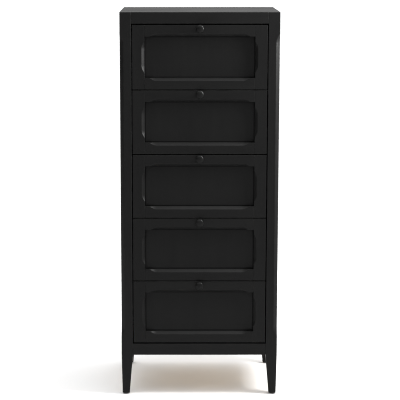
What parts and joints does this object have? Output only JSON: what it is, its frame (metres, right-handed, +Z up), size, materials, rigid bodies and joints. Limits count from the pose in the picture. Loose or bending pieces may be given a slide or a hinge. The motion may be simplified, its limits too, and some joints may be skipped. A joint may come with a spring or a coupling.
{
  "type": "tall chest of drawers",
  "caption": "Tall narrow chest of drawers with framed and panelled fronts, small round knobs, stop-chamfered posts and tapered legs; the drawers slide out on side runners.",
  "frame": {"origin": "centre of the bounding box on the floor, knobs included", "axes": "+Z up, +X to the viewer's right when facing the drawers, the drawers open towards -Y"},
  "size_m": [0.61, 0.482, 1.5],
  "materials": {
    "black_paint": "satin black paint over wood",
    "black_metal": "semi-gloss black",
    "pale_timber": "clear-sealed timber and plywood",
    "black_steel": "black coat on folded steel",
    "foot_glide": "matt"
  },
  "bodies": {
    "case": {"front_left_post": "black_paint", "front_left_glide": "foot_glide", "back_left_post": "black_paint", "back_left_glide": "foot_glide", "left_side": "black_paint", "front_right_post": "black_paint", "front_right_glide": "foot_glide", "back_right_post": "black_paint", "back_right_glide": "foot_glide", "right_side": "black_paint", "back_panel": "black_paint", "front_top_rail": "black_paint", "front_bottom_rail": "black_paint", "top_panel": "black_paint", "base_panel": "pale_timber", "drawer_1_left_case_runner": "black_steel", "drawer_1_right_case_runner": "black_steel", "drawer_2_left_case_runner": "black_steel", "drawer_2_right_case_runner": "black_steel", "drawer_3_left_case_runner": "black_steel", "drawer_3_right_case_runner": "black_steel", "drawer_4_left_case_runner": "black_steel", "drawer_4_right_case_runner": "black_steel", "drawer_5_left_case_runner": "black_steel", "drawer_5_right_case_runner": "black_steel"},
    "drawer_1": {"drawer_1_front_frame": "black_paint", "drawer_1_front_panel": "black_paint", "drawer_1_knob": "black_metal", "drawer_1_box": "pale_timber", "drawer_1_bottom": "pale_timber", "drawer_1_left_box_runner": "black_steel", "drawer_1_right_box_runner": "black_steel"},
    "drawer_2": {"drawer_2_front_frame": "black_paint", "drawer_2_front_panel": "black_paint", "drawer_2_knob": "black_metal", "drawer_2_box": "pale_timber", "drawer_2_bottom": "pale_timber", "drawer_2_left_box_runner": "black_steel", "drawer_2_right_box_runner": "black_steel"},
    "drawer_3": {"drawer_3_front_frame": "black_paint", "drawer_3_front_panel": "black_paint", "drawer_3_knob": "black_metal", "drawer_3_box": "pale_timber", "drawer_3_bottom": "pale_timber", "drawer_3_left_box_runner": "black_steel", "drawer_3_right_box_runner": "black_steel"},
    "drawer_4": {"drawer_4_front_frame": "black_paint", "drawer_4_front_panel": "black_paint", "drawer_4_knob": "black_metal", "drawer_4_box": "pale_timber", "drawer_4_bottom": "pale_timber", "drawer_4_left_box_runner": "black_steel", "drawer_4_right_box_runner": "black_steel"},
    "drawer_5": {"drawer_5_front_frame": "black_paint", "drawer_5_front_panel": "black_paint", "drawer_5_knob": "black_metal", "drawer_5_box": "pale_timber", "drawer_5_bottom": "pale_timber", "drawer_5_left_box_runner": "black_steel", "drawer_5_right_box_runner": "black_steel"}
  },
  "joints": [
    {"name": "drawer_1_slide", "type": "slide", "parent": "case", "child": "drawer_1", "axis": [0, -1, 0], "range_m": [0, 0.3]},
    {"name": "drawer_2_slide", "type": "slide", "parent": "case", "child": "drawer_2", "axis": [0, -1, 0], "range_m": [0, 0.3]},
    {"name": "drawer_3_slide", "type": "slide", "parent": "case", "child": "drawer_3", "axis": [0, -1, 0], "range_m": [0, 0.3]},
    {"name": "drawer_4_slide", "type": "slide", "parent": "case", "child": "drawer_4", "axis": [0, -1, 0], "range_m": [0, 0.3]},
    {"name": "drawer_5_slide", "type": "slide", "parent": "case", "child": "drawer_5", "axis": [0, -1, 0], "range_m": [0, 0.3]}
  ]
}
